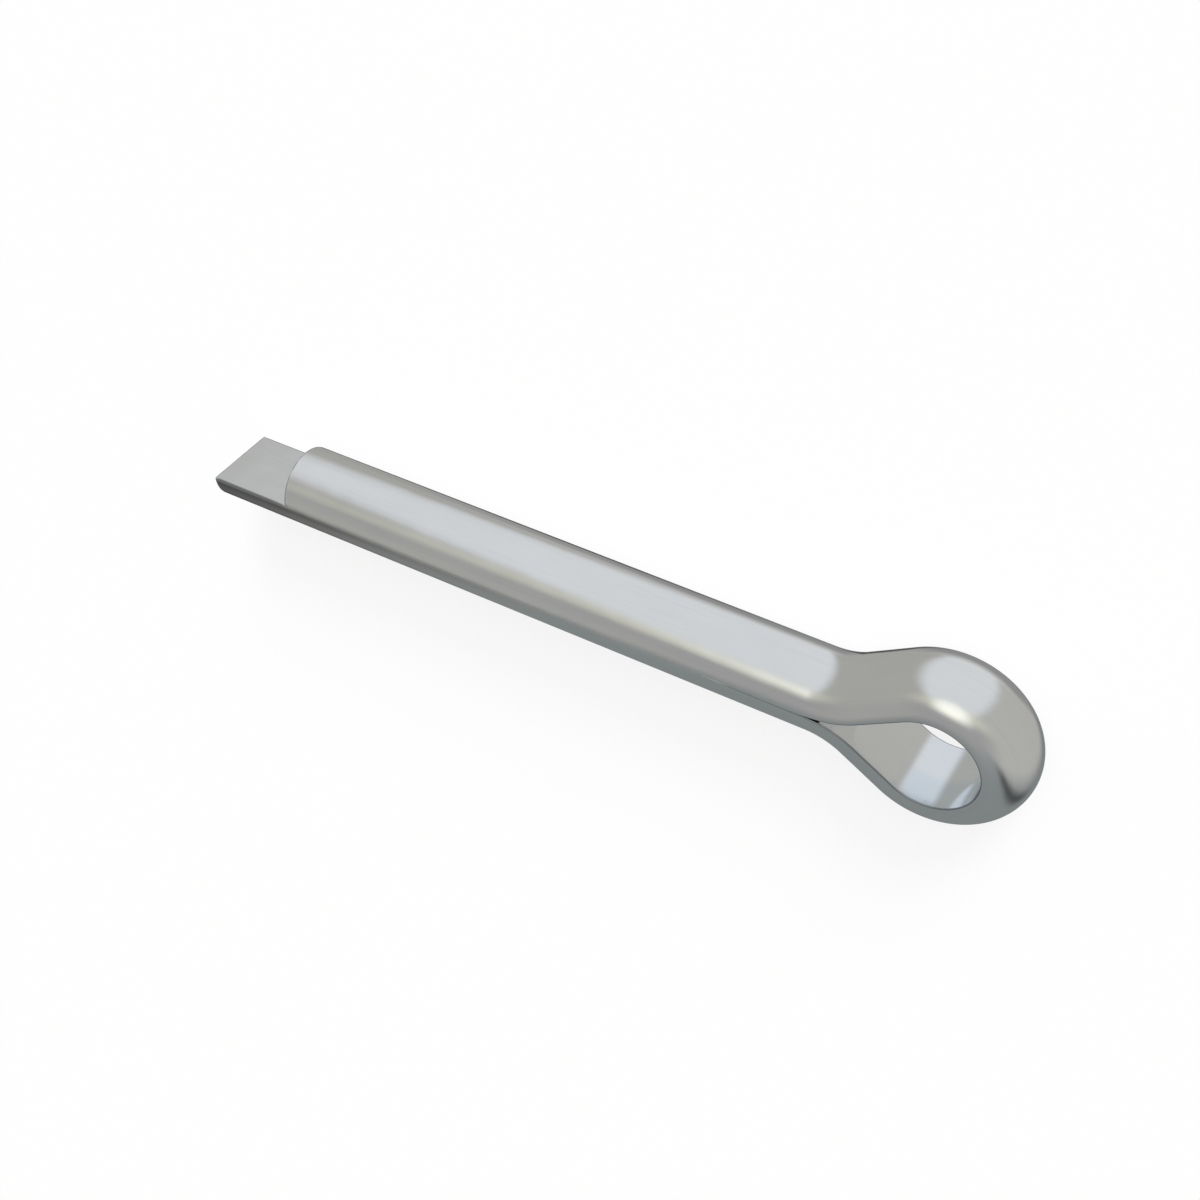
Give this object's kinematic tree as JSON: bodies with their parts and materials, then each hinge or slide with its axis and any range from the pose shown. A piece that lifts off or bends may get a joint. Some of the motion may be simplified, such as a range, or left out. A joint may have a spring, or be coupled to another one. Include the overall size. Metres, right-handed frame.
{
  "type": "split cotter pin",
  "caption": "Split cotter pin of half-round steel wire, with a round eye, a closed straight shank and one leg longer than the other, for locking a nut or clevis pin.",
  "frame": {"origin": "on the axis of the closed shank, where the two legs part at the neck, below the eye", "axes": "+X along the shank towards the eye; +Y across the split, on the side of the short leg; +Z along the axis of the eye. The pin lies on its side, as it comes to rest, on the plane Z = -1.4 mm"},
  "size_m": [0.0303, 0.0062, 0.0028],
  "materials": {
    "zinc_plated_steel": "satin"
  },
  "bodies": {
    "root": {"cotter_pin": "zinc_plated_steel"}
  },
  "joints": []
}
